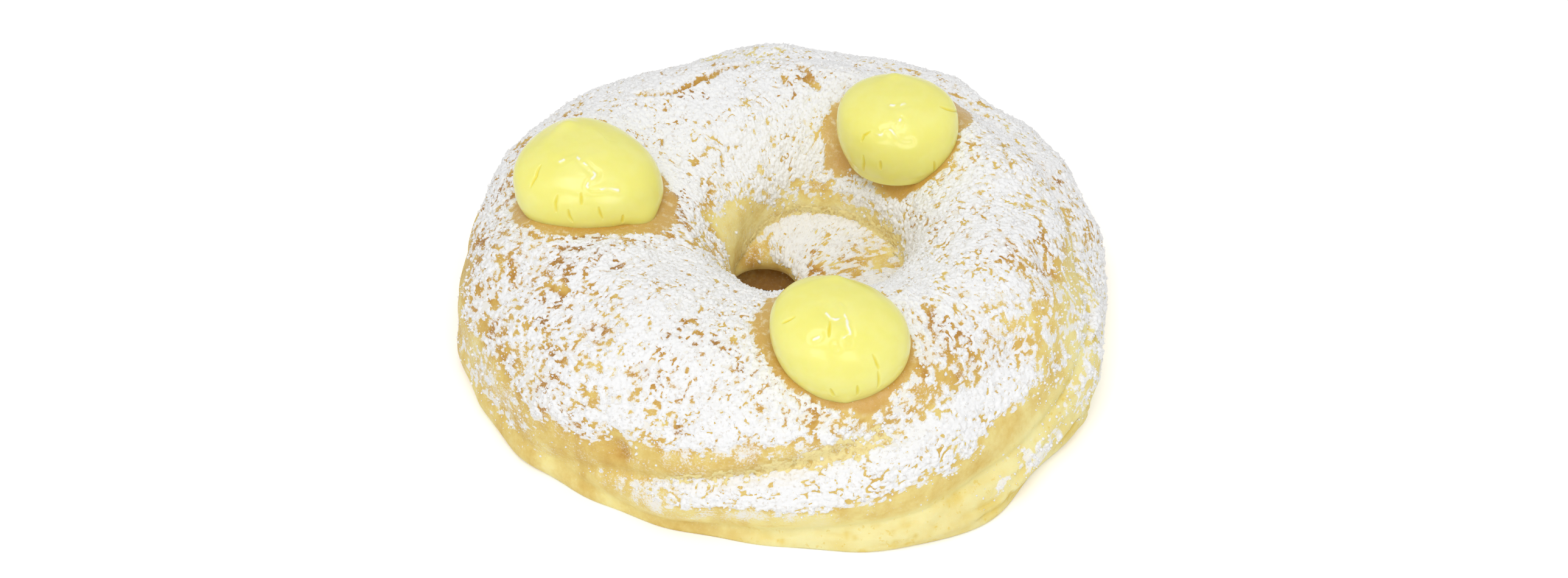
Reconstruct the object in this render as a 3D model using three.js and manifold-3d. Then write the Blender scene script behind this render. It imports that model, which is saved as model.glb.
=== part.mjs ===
// A baked choux ring, piped as one spiral rope and swollen together, with three custard dollops on top.
// Millimetres, +Z up. The flat underside is at z = 0 and the middle of the whole piece is on the Z axis.
// Turns are in degrees round the ring: 0 is the front (-Y), 90 the right (+X), 180 the back.

import * as THREE from 'three';
import { mergeVertices } from 'three/addons/utils/BufferGeometryUtils.js';
import Module from 'manifold-3d';

const wasm = await Module();
wasm.setup();

// Circle inside the dough that every section of the ring is measured from
const CORE_RADIUS = 34;
const CORE_HEIGHT = 3.5;

// Number of sections round the ring, and of points round each section
const TURNS = 84;
const FACES = 58;

// Each section runs from below the outer foot, over the top, to below the inner foot
const FIRST_FACE_DEG = -12;
const LAST_FACE_DEG = 192;

// Turns of the rope. Each size is given at every 30 degrees round the ring, starting at the front:
// outer edge from the axis, top height, how low the rounded section would reach, and depth of the crease
// under the rope above. The hole is the circle that the rope leaves free: centre x, centre y, radius.
const COILS = {
  base: {
    outer: [52, 57.2, 55.4, 54.9, 57.6, 54.4, 54.2, 54.2, 55.2, 55.4, 54.4, 51.2],
    high: [6.5, 9.5, 16.5, 21, 23, 25.5, 27, 24.5, 19, 15, 10.5, 7],
    low: [-6, -6, -6, -6, -6, -6, -6, -6, -6, -6, -6, -6],
    crease: [0.7, 1.3, 1.2, 1.1, 1.1, 1.2, 1.2, 1.1, 0.6, 0.1, 0.1, 0.2],
    hole: [0, 1, 20],
  },
  foot: {
    outer: [46, 46, 46, 46, 46, 46, 46, 46, 46, 46, 46, 46],
    high: [4, 4, 4, 4, 4, 4, 4, 4, 4, 4, 4, 4],
    low: [-6, -6, -6, -6, -6, -6, -6, -6, -6, -6, -6, -6],
    crease: [0, 0, 0, 0, 0, 0, 0, 0, 0, 0, 0, 0],
    hole: [-3.2, 0.3, 7.9],
  },
  shoulder: {
    outer: [46, 46, 46, 46, 46, 46, 46, 46, 46, 46, 46, 46],
    high: [10, 10, 10.5, 11.2, 11.2, 12.6, 13.8, 12.8, 11, 10, 10, 10],
    low: [1, 1, 1, 1, 1, 1, 1, 1, 1, 1, 1, 1],
    crease: [0.6, 0.8, 1, 1.2, 1.3, 1.3, 1.2, 1, 0.8, 0.6, 0.5, 0.5],
    hole: [-3.2, 0.5, 6.7],
  },
  middle: {
    outer: [52.5, 54, 53, 50, 49, 48.5, 48, 47, 47, 47, 49.5, 51.8],
    high: [21, 24.5, 26.2, 25, 25, 25, 25, 24, 21, 16, 12.5, 16],
    low: [-5, -5, -5, -5, -5, -5, -5, -5, -5, -5, -5, -5],
    crease: [1.6, 1.3, 0.3, 0, 0, 0, 0, 0, 0, 0, 0.6, 1.5],
    hole: [6.2, 0.4, 17.2],
  },
  top: {
    outer: [49.6, 50.2, 50.2, 48.5, 48.7, 49.3, 50, 52, 54.2, 54.2, 54, 51.3],
    high: [28, 28.2, 28.5, 28.6, 28.4, 28.2, 28.5, 28.7, 28.6, 28.4, 28.5, 28.2],
    low: [-1, -1, -1.5, -2, -2, -2, -2, -2.5, -5, -9, -8, -3],
    crease: [0, 0, 0, 0, 0, 0, 0, 0, 0, 0, 0, 0],
    hole: [6.2, 0.4, 14.4],
  },
};

// Where two turns of the rope meet: how soft the join is round the ring, and how far the crease reaches
const JOIN_SOFTNESS = [0.4, 0.5, 1, 1.1, 0.9, 0.8, 0.8, 0.8, 1, 1.6, 1.3, 0.5];
const CREASE_REACH = 1.1;

// Swollen, uneven dough, as waves through space: height, length, heading and tilt of the wave, start
const LUMPS = [
  [0.34, 36, 20, 10, 0.4],
  [0.32, 28, 100, -20, 2.1],
  [0.28, 22, 160, 35, 1.2],
  [0.24, 17, 50, -40, 4.0],
  [0.2, 13, 130, 15, 0.8],
  [0.18, 11, 80, 55, 2.9],
  [0.16, 10, 10, -60, 5.1],
];

// Pits in the crust: turn, angle up the section, radius, depth
const PITS = [
  [-31, 32, 2.2, 1.6],
  [-44, 72, 2.6, 1.2],
  [-58, 96, 2.4, 0.9],
  [74, 62, 2.6, 1.3],
  [52, 55, 2.3, 1.0],
  [-20, 50, 2.0, 0.8],
  [150, 66, 2.4, 0.9],
  [205, 58, 2.6, 1.0],
];

// Dollops: centre x and y, height of the buried foot, half width in x and in y, height, lean of the top,
// share of the height at the widest place, how far the sides would run on below the foot, roundness of the dome
// and lobes round the side, each with its count, share of the width and start
const DOLLOPS = {
  cream_dollop_left: {
    x: -32.1, y: 4.2, foot: 24.2, halfX: 12.05, halfY: 11.1, tall: 12.9, leanX: -1.9, leanY: 0.5,
    widest: 0.34, undercut: 0.27, rounded: 3.2, lobes: [[2, 0.013, 0.18], [3, 0.053, 1.27]],
  },
  cream_dollop_back: {
    x: 19.55, y: 16.5, foot: 24.2, halfX: 10.1, halfY: 9.7, tall: 13.35, leanX: -0.26, leanY: 0.5,
    widest: 0.53, undercut: 0.2, rounded: 2.76, lobes: [[2, 0.029, 0.33], [3, 0.011, -0.14]],
  },
  cream_dollop_front: {
    x: 9.45, y: -34.2, foot: 22.8, halfX: 10.65, halfY: 10.1, tall: 15, leanX: -2.65, leanY: 0,
    widest: 0.47, undercut: 0.24, rounded: 2.84, lobes: [[2, 0.032, 0.83], [3, 0.021, 0.36]],
  },
};
const DOLLOP_SIDES = 26;
const DOLLOP_RINGS = 13;
const DOLLOP_PEAKED = 0.08;

// The dent that each dollop lies in, and the clearance under it
const DENT_DEPTH = 1.1;
const DENT_SPREAD = 1.05;
const DENT_LOWEST = 18;
const CLEARANCE = 0.35;

// Middle of the whole piece, seen from above, from the ring's own axis
const MIDDLE_X = -0.07;
const MIDDLE_Y = 0.74;

const CRUST_COLOUR = 0xd9ba6c;
const CREAM_COLOUR = 0xf2e98c;

const radians = THREE.MathUtils.degToRad;

// Smooth closed curve through sizes that stand at even turns round the ring
function around(turnDeg, sizes) {
  const count = sizes.length;
  const place = THREE.MathUtils.euclideanModulo((turnDeg / 360) * count, count);
  const start = Math.floor(place);
  const step = place - start;
  const [before, from, to, after] = [-1, 0, 1, 2].map((shift) => sizes[(start + shift + count) % count]);
  const bend = 3 * (from - to) + after - before;
  const sway = 2 * before - 5 * from + 4 * to - after;
  return from + 0.5 * step * (to - before + step * (sway + step * bend));
}

// Distance from the axis to the rim of a hole, along one turn
function holeEdge(turn, [x, y, radius]) {
  const along = x * Math.sin(turn) - y * Math.cos(turn);
  const across = -x * Math.cos(turn) - y * Math.sin(turn);
  return along + Math.sqrt(radius * radius - across * across);
}

// How far an oval rope reaches from the core, in the direction of one face angle
function ropeReach(turnDeg, face, coil) {
  const outer = around(turnDeg, coil.outer);
  const inner = holeEdge(radians(turnDeg), coil.hole);
  const high = around(turnDeg, coil.high);
  const low = around(turnDeg, coil.low);
  const wide = (outer - inner) / 2;
  const tall = (high - low) / 2;
  const offOut = (CORE_RADIUS - (outer + inner) / 2) / wide;
  const offUp = (CORE_HEIGHT - (high + low) / 2) / tall;
  const out = Math.cos(face) / wide;
  const up = Math.sin(face) / tall;
  const square = out * out + up * up;
  const half = offOut * out + offUp * up;
  const rest = offOut * offOut + offUp * offUp - 1;
  return (-half + Math.sqrt(half * half - square * rest)) / square;
}

// Height of the lumps at one place on the skin
function lumpHeight(x, y, z) {
  let sum = 0;
  for (const [height, length, headingDeg, tiltDeg, start] of LUMPS) {
    const heading = radians(headingDeg);
    const tilt = radians(tiltDeg);
    const along = (x * Math.cos(heading) + y * Math.sin(heading)) * Math.cos(tilt) + z * Math.sin(tilt);
    sum += height * Math.sin((2 * Math.PI * along) / length + start);
  }
  return sum;
}

function pitDepth(turnDeg, face, reach) {
  let sum = 0;
  for (const [atTurn, atFaceDeg, radius, depth] of PITS) {
    const turnGap = THREE.MathUtils.euclideanModulo(turnDeg - atTurn + 180, 360) - 180;
    const sideways = radians(turnGap) * (CORE_RADIUS + reach * Math.cos(face));
    const upwards = (face - radians(atFaceDeg)) * reach;
    sum += depth * Math.exp(-(sideways * sideways + upwards * upwards) / (radius * radius));
  }
  return sum;
}

// Depth of the dents under the dollops at one place on the ring's top
function dentDepth(x, y) {
  let sum = 0;
  for (const dollop of Object.values(DOLLOPS)) {
    const offX = (x - dollop.x) / (dollop.halfX * DENT_SPREAD);
    const offY = (y - dollop.y) / (dollop.halfY * DENT_SPREAD);
    sum += DENT_DEPTH * Math.exp(-((offX * offX + offY * offY) ** 2));
  }
  return sum;
}

// One point of the ring's skin
function ringPoint(turnDeg, faceDeg) {
  const turn = radians(turnDeg);
  const face = radians(faceDeg);
  const ropes = Object.values(COILS).map((coil, rank) => ({ coil, rank, reach: ropeReach(turnDeg, face, coil) }));
  ropes.sort((a, b) => b.reach - a.reach);
  const [first, second] = ropes;
  const softness = around(turnDeg, JOIN_SOFTNESS);
  const joined = ropes.reduce((sum, rope) => sum + Math.exp((rope.reach - first.reach) / softness), 0);
  const lower = first.rank < second.rank ? first : second;
  const gap = (first.reach - second.reach) / CREASE_REACH;
  const crease = around(turnDeg, lower.coil.crease) * Math.exp(-gap * gap);
  let reach = first.reach + softness * Math.log(joined) - crease;
  const plain = CORE_RADIUS + reach * Math.cos(face);
  reach += lumpHeight(plain * Math.sin(turn), -plain * Math.cos(turn), reach * Math.sin(face));
  reach -= pitDepth(turnDeg, face, reach);
  const fromAxis = CORE_RADIUS + reach * Math.cos(face);
  const x = fromAxis * Math.sin(turn);
  const y = -fromAxis * Math.cos(turn);
  let z = CORE_HEIGHT + reach * Math.sin(face);
  if (z > DENT_LOWEST) z -= dentDepth(x, y) * Math.min(1, (z - DENT_LOWEST) / 4);
  return new THREE.Vector3(x, y, Math.max(z, 0));
}

// A torus whose points are moved out to the skin; its last strip closes the flat underside
function ringGeometry() {
  const geometry = new THREE.TorusGeometry(CORE_RADIUS, 10, FACES, TURNS);
  const position = geometry.getAttribute('position');
  for (let row = 0; row <= FACES; row += 1) {
    for (let column = 0; column <= TURNS; column += 1) {
      const faceDeg = THREE.MathUtils.lerp(FIRST_FACE_DEG, LAST_FACE_DEG, (row % FACES) / (FACES - 1));
      const point = ringPoint(((column % TURNS) / TURNS) * 360, faceDeg);
      position.setXYZ(row * (TURNS + 1) + column, point.x, point.y, point.z);
    }
  }
  return geometry;
}

// Half width of a dollop at a share of its height: rounded under, then a dome drawn up to a peak
function dollopWidth({ widest, undercut, rounded }, share) {
  if (share < widest) {
    const below = (widest - share) / (widest + undercut);
    return Math.sqrt(1 - below * below);
  }
  const above = (share - widest) / (1 - widest);
  const dome = Math.sqrt(Math.max(1 - above ** rounded, 0));
  return (1 - DOLLOP_PEAKED) * dome + DOLLOP_PEAKED * (1 - above) ** 1.3;
}

// A lathe-turned kiss of cream, then widened, lobed and leaned
function dollopGeometry(dollop) {
  const profile = [new THREE.Vector2(0, 0)];
  for (let ring = 0; ring <= DOLLOP_RINGS; ring += 1) {
    const share = 1 - (1 - ring / DOLLOP_RINGS) ** 1.4;
    profile.push(new THREE.Vector2(ring === DOLLOP_RINGS ? 0 : dollopWidth(dollop, share), share));
  }
  const geometry = new THREE.LatheGeometry(profile, DOLLOP_SIDES);
  geometry.rotateX(Math.PI / 2);
  const position = geometry.getAttribute('position');
  for (let index = 0; index < position.count; index += 1) {
    const [px, py, share] = [position.getX(index), position.getY(index), position.getZ(index)];
    const angle = Math.atan2(py, px);
    const lobed = dollop.lobes.reduce((sum, [count, size, at]) => sum + size * Math.cos(count * angle + at), 1);
    position.setXYZ(
      index,
      dollop.x + dollop.halfX * lobed * px + dollop.leanX * share * share,
      dollop.y + dollop.halfY * lobed * py + dollop.leanY * share * share,
      dollop.foot + dollop.tall * share,
    );
  }
  return geometry;
}

// Closed solid of a geometry: shared points merged and empty triangles at the poles left out
function solidOf(geometry) {
  geometry.deleteAttribute('normal');
  geometry.deleteAttribute('uv');
  const merged = mergeVertices(geometry, 1e-4);
  const index = merged.getIndex().array;
  const kept = [];
  for (let corner = 0; corner < index.length; corner += 3) {
    const [a, b, c] = index.slice(corner, corner + 3);
    if (a !== b && b !== c && c !== a) kept.push(a, b, c);
  }
  const mesh = new wasm.Mesh({
    numProp: 3,
    vertProperties: Float32Array.from(merged.getAttribute('position').array),
    triVerts: Uint32Array.from(kept),
  });
  return new wasm.Manifold(mesh);
}

function geometryOf(solid) {
  const mesh = solid.getMesh();
  const geometry = new THREE.BufferGeometry();
  geometry.setAttribute('position', new THREE.BufferAttribute(Float32Array.from(mesh.vertProperties), 3));
  geometry.setIndex(Array.from(mesh.triVerts));
  geometry.computeVertexNormals();
  return geometry;
}

function namedMesh(name, solid, material) {
  const mesh = new THREE.Mesh(geometryOf(solid), material);
  mesh.name = name;
  return mesh;
}

const crust = new THREE.MeshStandardMaterial({ color: CRUST_COLOUR, roughness: 0.75, metalness: 0 });
const cream = new THREE.MeshStandardMaterial({ color: CREAM_COLOUR, roughness: 0.3, metalness: 0 });

const pastry = new THREE.Group();
pastry.position.set(-MIDDLE_X, -MIDDLE_Y, 0);
const ring = solidOf(ringGeometry());
pastry.add(namedMesh('choux_ring', ring, crust));

// Each dollop keeps its clearance from the dough under it
const ringWithClearance = ring.translate([0, 0, CLEARANCE]);
for (const [name, dollop] of Object.entries(DOLLOPS)) {
  pastry.add(namedMesh(name, solidOf(dollopGeometry(dollop)).subtract(ringWithClearance), cream));
}

export default pastry;
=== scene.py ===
"""A choux pastry ring with three dollops of custard cream and a dusting of sugar.

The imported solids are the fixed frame. This file dresses them: a baked crust over the ring,
a clumpy coat of sugar with loose grains, glossy cream over each dollop, and a plain pale stage.
Shapes are worked out in millimetres and put into the meshes in metres.
"""

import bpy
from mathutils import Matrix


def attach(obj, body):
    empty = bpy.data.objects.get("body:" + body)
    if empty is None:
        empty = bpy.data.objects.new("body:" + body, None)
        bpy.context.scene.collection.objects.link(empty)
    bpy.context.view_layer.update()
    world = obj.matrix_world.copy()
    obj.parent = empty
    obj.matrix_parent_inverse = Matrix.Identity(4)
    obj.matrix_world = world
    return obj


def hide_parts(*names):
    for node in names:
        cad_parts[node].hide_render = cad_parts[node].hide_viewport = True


bl_info = {
    "name": "Cream-Topped Choux Ring",
    "version": (1, 0, 0),
    "blender": (4, 5, 0),
    "location": "3D View > Sidebar > Pastry",
    "description": "Builds the crust, sugar and cream of a choux ring over its packed solids",
    "category": "Add Mesh",
}

from collections import namedtuple

import bpy
import numpy as np

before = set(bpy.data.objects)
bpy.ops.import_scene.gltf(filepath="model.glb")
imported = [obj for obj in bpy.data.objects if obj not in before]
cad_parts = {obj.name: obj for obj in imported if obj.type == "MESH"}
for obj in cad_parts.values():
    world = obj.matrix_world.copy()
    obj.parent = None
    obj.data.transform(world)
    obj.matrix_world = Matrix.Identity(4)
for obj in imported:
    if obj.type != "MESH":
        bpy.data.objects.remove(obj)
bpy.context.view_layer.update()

MM = 0.001

# Where the model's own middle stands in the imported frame, in millimetres
MIDDLE = np.array([0.07, -0.74, 0.0])

# The ring's core circle, which every coil of the pastry goes round
CORE_RADIUS = 34.0
CORE_HEIGHT = 3.5

# The five piped coils from the lowest up: sizes every 30 degrees round from the front, going right
COIL_NAMES = ("base", "foot", "shoulder", "middle", "top")
COILS = {
    "base": {
        "outer": (52, 57.2, 55.4, 54.9, 57.6, 54.4, 54.2, 54.2, 55.2, 55.4, 54.4, 51.2),
        "high": (6.5, 9.5, 16.5, 21, 23, 25.5, 27, 24.5, 19, 15, 10.5, 7),
        "low": (-6,) * 12,
        "crease": (0.3, 0.5, 0.8, 1.0, 1.1, 1.2, 1.2, 1.1, 0.6, 0.1, 0.1, 0.2),
        "hole": (0, 1, 20),
    },
    "foot": {
        "outer": (46,) * 12,
        "high": (4,) * 12,
        "low": (-6,) * 12,
        "crease": (0,) * 12,
        "hole": (-3.2, 0.3, 7.9),
    },
    "shoulder": {
        "outer": (46,) * 12,
        "high": (10, 10, 10.5, 11.2, 11.2, 12.6, 13.8, 12.8, 11, 10, 10, 10),
        "low": (1,) * 12,
        "crease": (0.5, 0.5, 0.5, 0.4, 0.4, 0.4, 0.4, 0.4, 0.4, 0.4, 0.4, 0.5),
        "hole": (-3.2, 0.5, 6.7),
    },
    "middle": {
        "outer": (52.5, 54, 53, 50, 49, 48.5, 48, 47, 47, 47, 49.5, 51.8),
        "high": (21, 24.5, 26.2, 25, 25, 25, 25, 24, 21, 16, 12.5, 16),
        "low": (-5,) * 12,
        "crease": (1.4, 1.2, 0.3, 0, 0, 0, 0, 0, 0, 0, 0.2, 0.6),
        "hole": (6.2, 0.4, 17.2),
    },
    "top": {
        "outer": (49.6, 50.2, 50.2, 48.5, 48.7, 49.3, 50, 52, 54.2, 54.2, 54, 51.3),
        "high": (28, 28.2, 28.5, 28.6, 28.4, 28.2, 28.5, 28.7, 28.6, 28.4, 28.5, 28.2),
        "low": (-1, -1, -1.5, -2, -2, -2, -2, -2.5, -5, -9, -8, -3),
        "crease": (0,) * 12,
        "hole": (6.2, 0.4, 14.4),
    },
}
JOIN_SOFTNESS = (0.4, 0.5, 1, 1.1, 0.9, 0.8, 0.8, 0.8, 1, 1.6, 1.3, 0.5)
CREASE_REACH = 1.1

# Long waves through the dough: height, length, heading, tilt, start
LUMPS = (
    (0.34, 36, 20, 10, 0.4),
    (0.32, 28, 100, -20, 2.1),
    (0.28, 22, 160, 35, 1.2),
    (0.24, 17, 50, -40, 4.0),
    (0.2, 13, 130, 15, 0.8),
    (0.18, 11, 80, 55, 2.9),
    (0.16, 10, 10, -60, 5.1),
)

# Burst bubbles in the crust: turn, face, radius, depth
PITS = (
    (-31, 32, 2.2, 1.6),
    (-44, 72, 2.6, 1.2),
    (-58, 96, 2.4, 0.9),
    (74, 62, 2.6, 1.3),
    (52, 55, 2.3, 1.0),
    (-20, 50, 2.0, 0.8),
    (150, 66, 2.4, 0.9),
    (205, 58, 2.6, 1.0),
)

# Cracks where the crust pulled apart: depth, width and the places (turn, face) that each runs through
CRACKS = (
    (
        0.9, 0.62,
        (
            (222, 79), (217, 90), (212, 90), (208, 90.5), (201, 89.5), (199, 87), (194, 84.5), (189, 82),
            (185, 78),
        ),
    ),
    (0.7, 0.9, ((175.5, 84.5), (172.5, 93), (167, 99.5))),
    (0.65, 0.9, ((179.5, 92), (179, 100))),
    (0.5, 0.55, ((194.5, 101.5), (193, 108))),
    (0.4, 0.45, ((227.5, 104), (233.5, 110))),
    (0.45, 0.5, ((215, 125.5), (218.5, 131.5))),
    (0.45, 0.5, ((96, 74), (102, 78), (109, 77), (114, 72))),
    (0.45, 0.5, ((36, 80), (41, 83), (44, 88))),
    (0.6, 0.6, ((16, 56), (15, 54), (14, 50.5))),
)

# The skin's lowest outer and inner edges, as angles round the core
FACE_FIRST = -12.0
FACE_LAST = 192.0

# The dollops: middle, foot height, half widths, height, lean of the top, share of the height at the
# widest place, how far the sides would run on below the foot, roundness of the dome and lobes as
# (count, share, start). The halo is how far the crust beside it is bare, past the widest oval, every
# 30 degrees from the right to the back. Ridges, slits and folds run through places of (angle from the
# front, share of the height). A bulge is such a place with a radius and a height, the tip one with a height.
Dollop = namedtuple(
    "Dollop",
    "x y foot half_x half_y tall lean_x lean_y widest undercut rounded lobes halo "
    "bulges tip ridges slits folds",
)
DOLLOPS = {
    "left": Dollop(
        x=-32.1, y=4.2, foot=24.2, half_x=12.05, half_y=11.1, tall=12.9, lean_x=-1.9, lean_y=0.5,
        widest=0.34, undercut=0.27, rounded=3.2, lobes=((2, 0.013, 0.18), (3, 0.053, 1.27)),
        halo=(1.8, 0.6, 0.6, 0.8, 0.8, 0.8, 1, 2, 2, 1.7, 2.2, 4.6),
        bulges=((52, 0.14, 2.6, 0.9), (31, 0.1, 1.3, -0.8)),
        tip=(-160, 0.95, 0.32),
        ridges=(((-159, 0.94), (-123, 0.96), (-90, 0.93)), ((-168, 0.96), (156, 0.96), (102, 0.96))),
        slits=(
            ((-50, 0.91), (-45, 0.83), (-46, 0.7)),
            ((-20, 0.72), (-22, 0.61), (-22, 0.48)),
            ((-12, 0.55), (-12, 0.45), (-10, 0.35)),
            ((2, 0.75), (0, 0.6)),
            ((14, 0.57), (14, 0.48), (15, 0.37)),
            ((32, 0.4), (30, 0.26)),
        ),
        folds=(
            ((-30, 0.95), (-21, 0.97), (0, 0.98), (9, 0.96), (18, 0.93), (24, 0.88)),
            ((24, 0.88), (12, 0.83), (9, 0.8), (13, 0.75), (28, 0.76), (36, 0.73)),
        ),
    ),
    "back": Dollop(
        x=19.55, y=16.5, foot=24.2, half_x=10.1, half_y=9.7, tall=13.35, lean_x=-0.26, lean_y=0.5,
        widest=0.5, undercut=0.34, rounded=3.3, lobes=((2, 0.029, 0.33), (3, 0.011, -0.14)),
        halo=(0.7, 5.2, 6.2, 4, 5.4, 4, 2, 0.2, -1.5, -2, -0.4, 0.6),
        bulges=(),
        tip=(-176, 0.95, 0.1),
        ridges=(((-176, 0.94), (-150, 0.97), (-128, 0.97)), ((180, 0.95), (138, 0.95), (92, 0.93))),
        slits=(
            ((73, 0.9), (76, 0.85), (97, 0.62)),
            ((-36, 0.48), (-36, 0.33), (-40, 0.14)),
            ((-18, 0.47), (-18, 0.29)),
            ((37, 0.37), (42, 0.14)),
            ((-39, 0.65), (-38, 0.74), (-32, 0.81)),
        ),
        folds=(
            ((-24, 0.8), (-18, 0.8), (-16, 0.84), (-9, 0.85), (-3, 0.8), (5, 0.75), (12, 0.74)),
            ((-20, 0.98), (-2, 0.98), (22, 0.985)),
            ((-4, 0.88), (2, 0.92)),
        ),
    ),
    "front": Dollop(
        x=9.45, y=-34.2, foot=22.8, half_x=10.65, half_y=10.1, tall=15.0, lean_x=-2.65, lean_y=0.0,
        widest=0.47, undercut=0.26, rounded=2.9, lobes=((2, 0.032, 0.83), (3, 0.021, 0.36)),
        halo=(0.8, 0.4, 1.6, 2.4, 5.6, 5.4, 2.4, 1.4, -0.4, -0.8, 0.3, 1.4),
        bulges=((3, 0.06, 1.3, 0.25),),
        tip=(169, 0.93, 0.14),
        ridges=(((170, 0.92), (218, 0.96), (250, 0.89)), ((168, 0.91), (125, 0.92), (99, 0.88))),
        slits=(
            ((4, 0.96), (0, 0.92), (-2, 0.88)),
            ((35, 0.7), (35, 0.57), (36, 0.5)),
            ((34, 0.49), (34, 0.21)),
            ((14, 0.36), (14, 0.16)),
            ((-10, 0.32), (-8, 0.16)),
            ((-66, 0.84), (-58, 0.93)),
        ),
        folds=(
            ((62, 0.99), (38, 0.97), (28, 0.93), (26, 0.89), (14, 0.87), (18, 0.84)),
            ((-22, 0.995), (2, 0.98), (16, 0.96), (30, 0.96)),
            ((-20, 0.86), (-14, 0.88)),
            ((4, 0.83), (5, 0.8)),
        ),
    ),
}
DOLLOP_PEAKED = 0.03
DENT_DEPTH = 1.1
DENT_SPREAD = 1.05
DENT_LOWEST = 18.0

# Where the sugar lies, every 15 degrees round from the front, going right.
# The edges are face angles; the fullness is the share of the crust that is covered.
TOP_SUGAR_OUTER_EDGE = (
    51, 48, 49, 50, 46, 40, 36, 30, 26, 24, 24, 24, 24, 24, 26, 28, 30, 32, 31, 27, 32, 25, 38, 46,
)
TOP_SUGAR_INNER_EDGE = (
    136, 134, 133, 133, 133, 135, 142, 146, 141, 140, 138.5, 142, 147, 146, 141, 141, 139, 139, 162, 160,
    144, 142, 140, 138,
)
TOP_SUGAR_FULLNESS = (
    0.88, 0.6, 0.48, 0.64, 0.66, 0.66, 0.74, 0.78, 0.79, 0.82, 0.9, 0.92, 0.9, 0.85, 0.86, 0.86, 0.76, 0.72,
    0.56, 0.5, 0.67, 0.73, 0.83, 0.92,
)
INNER_SUGAR_FULLNESS = (
    0.86, 0.84, 0.86, 0.9, 0.94, 0.9, 0.88, 0.84, 0.92, 0.96, 0.95, 0.94, 0.95, 0.97, 0.97, 0.97, 0.96, 0.95,
    0.66, 0.6, 0.9, 0.9, 0.92, 0.84,
)
BASE_SUGAR_LOWER_EDGE = (
    20, 20, 20, 14, 8, 6, 8, 14, 22, 28, 34, 35, 34, 34, 31, 30, 28, 26, 24, 22, 20, 20, 20, 20,
)
BASE_SUGAR_FULLNESS = (
    0, 0, 0, 0.06, 0.46, 0.72, 0.78, 0.8, 0.84, 0.84, 0.86, 0.88, 0.88, 0.85, 0.6, 0.4, 0.2, 0.1,
    0, 0, 0, 0, 0, 0,
)
SHOULDER_SUGAR_FULLNESS = (
    0.75, 0.75, 0.75, 0.75, 0.75, 0.85, 0.85, 0.72, 0.64, 0.82, 0.94, 0.98, 0.97, 0.7, 0.15, 0, 0, 0.1,
    0.3, 0.5, 0.6, 0.7, 0.75, 0.75,
)
# The ledge in front: the crease above it and the lower edge of its sugar
LEDGE_CREASE = (36, 42, 52) + (54,) * 14 + (30, 20, 18, 18, 18, 18, 29)
LEDGE_SUGAR_EDGE = (13, 20, 27, 35, 42) + (48,) * 12 + (40, 30, 20, 16, 14, 14, 12)
LEDGE_FIRST_TURN = -27.0
LEDGE_LAST_TURN = 58.0

# Stray dustings: turn, face, reach along the turn, reach along the face, share covered
DUST_PATCHES = (
    (-62, 14, 14, 10, 0.42),
    (-58, 26, 12, 6, 0.3),
    (-40, 10, 10, 5, 0.14),
    (-10, 14, 14, 9, 0.46),
    (48, 7, 9, 6, 0.4),
    (4, 43, 18, 4, 0.24),
    (61, 34, 7, 9, 0.5),
    (60, 13, 6, 8, 0.5),
    (74, 33, 8, 9, 0.68),
    (104, 148, 6, 4, 0.75),
    (-28, 12, 12, 5, 0.22),
    (8, 12, 12, 5, 0.2),
)
# Thin films of fine dust, in the same way
FILM_PATCHES = (
    (-22, 10, 11, 8, 0.85),
    (-12, 12, 13, 6, 0.8),
    (3, 12, 12, 5, 0.62),
    (-18, 38, 4, 8, 0.8),
    (-9, 45, 5, 6, 0.8),
    (1, 46, 8, 5, 0.8),
    (12, 48, 8, 6, 0.7),
    (-62, 18, 16, 12, 0.6),
)
# Spots that the sugar left bare, in the same way, with the share taken away
BARE_PATCHES = (
    (80, 50, 13, 6, 0.6),
    (-61, 74, 1.6, 2.8, 0.95),
    (-40, 60, 1.8, 2.2, 0.9),
    (-31.5, 66.5, 1.6, 1.8, 0.9),
    (-38, 50, 1.4, 2.2, 0.95),
    (-45, 31, 1.8, 2.4, 0.7),
    (58, 57.5, 1.3, 2.4, 0.9),
    (16, 57, 6, 6, 0.5),
    (106, 157, 11, 7, 1.0),
    (-60, 40, 7, 7, 0.4),
    (-90, 38, 8, 6, 0.4),
    (-157, 170, 12, 5, 0.9),
    (-176, 126.5, 2, 2, 0.7),
    (-165.5, 135, 2, 2, 0.8),
    (-134, 133, 2, 2, 0.8),
)

# Which way each coil is baked: 0 is pale dough, 1 is brown. The foot's 1.1 is painted shade, for the dark
# hollow deep in the hole
COIL_BAKE_AND_SHADE = {"base": 0.56, "foot": 1.1, "shoulder": 0.44, "middle": 0.5, "top": 0.61}

# The sugar coat's pieces, from the front round to the right, and how deep it lies where no clump is
SECTORS = ("front", "front_right", "back_right", "back", "back_left", "front_left")
COAT_SUNK = -0.3
NO_CLUMP = -0.6
GRAIN_SEED = 2024

# Widths of the marks on the cream: the tip, a ridge and a fold
TIP_WIDTH = 1.5
RIDGE_WIDTH = 1.3
FOLD_WIDTH = 0.19

# Where the lights point, in metres
LIGHT_AIM = (0.0, 0.0, 0.02)

# A mix node's colour sockets, which share their names with its sockets of other kinds
MIX_FIRST = 6
MIX_SECOND = 7
MIX_RESULT = 2

# Noise: how its lattice is turned, and the numbers that mix the bits of a lattice cell and a seed
LATTICE_TURN = np.array([[0.80, 0.36, 0.48], [-0.60, 0.48, 0.64], [0.0, -0.80, 0.60]])
CELL_MIX = (374761393, 668265263, 1442695041)
SEED_MIX = 97531
BIT_MIX = ((13, 1274126177), (15, 2246822519))
LARGEST = 4294967295.0

Skin = namedtuple("Skin", "points normals shares crumb pores pale pits cracks")


# Small helpers for shapes

def ease(low, high, value):
    """A smooth step: 0 at low, 1 at high, level at both ends. High may be the smaller of the two."""
    step = np.clip((value - low) / (high - low), 0.0, 1.0)
    return step * step * (3.0 - 2.0 * step)


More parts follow.
